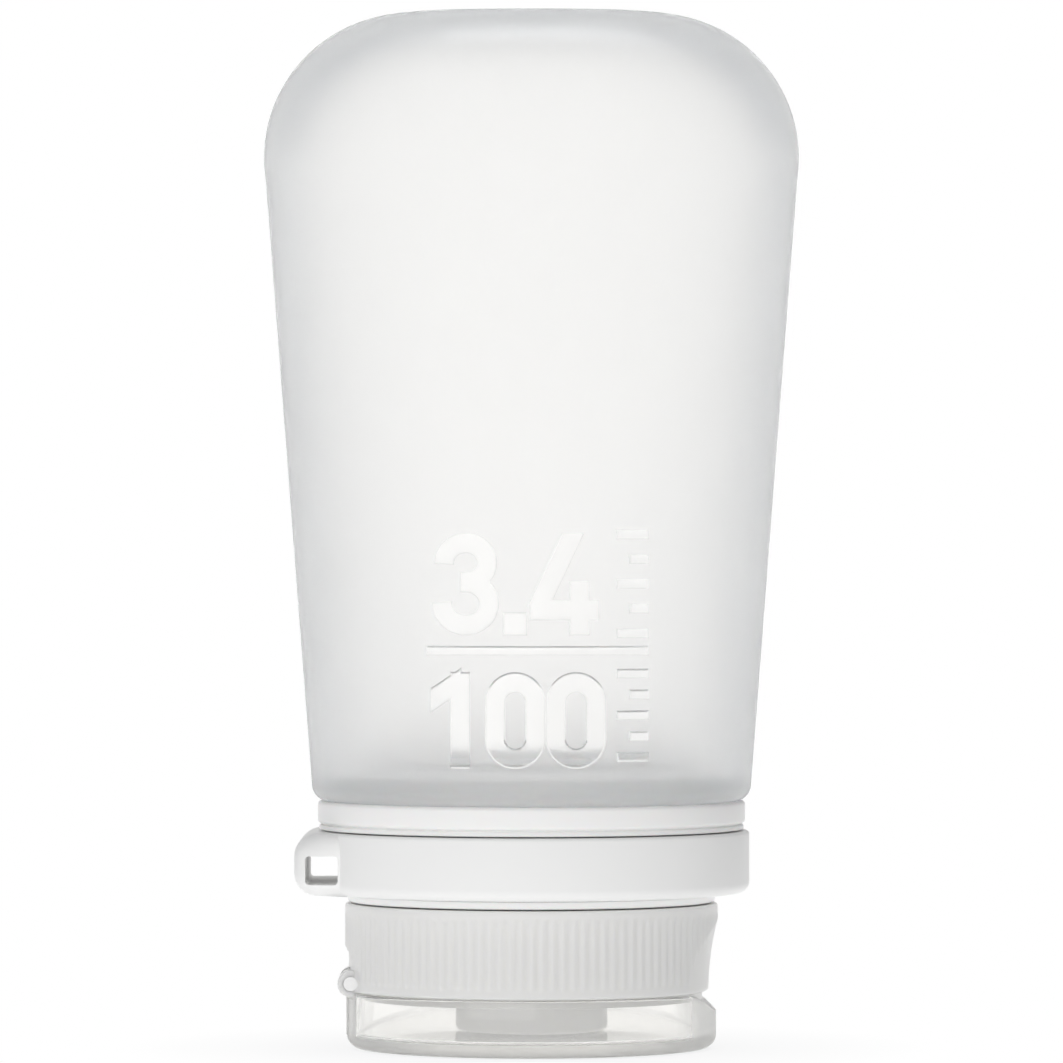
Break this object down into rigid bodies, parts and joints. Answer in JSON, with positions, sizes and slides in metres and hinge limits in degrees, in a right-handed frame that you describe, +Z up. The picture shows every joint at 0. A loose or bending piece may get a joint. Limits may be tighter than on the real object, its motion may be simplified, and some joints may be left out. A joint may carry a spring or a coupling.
{
  "type": "silicone travel bottle",
  "caption": "Soft translucent squeeze bottle that stands on its flip lid, with a ribbed screw cap, a slit valve in the outlet and a swivel ring with a cord lug.",
  "frame": {"origin": "centre of the lid's flat face, on which the bottle stands", "axes": "+Z up along the bottle's axis, from the lid to the closed end; +X from the lid's hinge to its thumb dip; +Y away from the viewer of the picture"},
  "size_m": [0.0562, 0.0458, 0.1085],
  "materials": {
    "frosted_silicone": "frosted, translucent",
    "milky_neck_plastic": "satin, milky",
    "clamp_plastic": "satin",
    "white_ring_plastic": "satin, opaque",
    "natural_cap_plastic": "satin, translucent",
    "gasket_silicone": "matt",
    "valve_silicone": "matt, translucent",
    "retainer_plastic": "satin",
    "clear_lid_plastic": "clear",
    "pin_plastic": "satin"
  },
  "bodies": {
    "bottle": {"bottle_body": "frosted_silicone", "neck_collar": "milky_neck_plastic", "body_clamp_ring": "clamp_plastic"},
    "loop": {"loop_ring": "white_ring_plastic"},
    "cap_seal": {"cap_gasket": "gasket_silicone"},
    "cap": {"screw_cap": "natural_cap_plastic", "slit_valve": "valve_silicone", "valve_retainer": "retainer_plastic", "hinge_pin": "pin_plastic"},
    "lid": {"flip_lid": "clear_lid_plastic"}
  },
  "joints": [
    {"name": "loop_swivel", "type": "hinge", "parent": "bottle", "child": "loop", "pos_m": [0, 0, 0.01955], "axis": [0, 0, 1], "continuous": true},
    {"name": "cap_travel", "type": "slide", "parent": "bottle", "child": "cap_seal", "axis": [0, 0, -1], "range_m": [0, 0.0048]},
    {"name": "cap_turn", "type": "hinge", "parent": "cap_seal", "child": "cap", "pos_m": [0, 0, 0.01], "axis": [0, 0, -1], "range_deg": [0, 576]},
    {"name": "lid_hinge", "type": "hinge", "parent": "cap", "child": "lid", "pos_m": [-0.0189, 0, 0.0069], "axis": [0, 1, 0], "range_deg": [0, 140]}
  ],
  "couplings": [
    {"joint": "cap_travel", "follows": "cap_turn", "m_per_rad": 0.00047746}
  ]
}
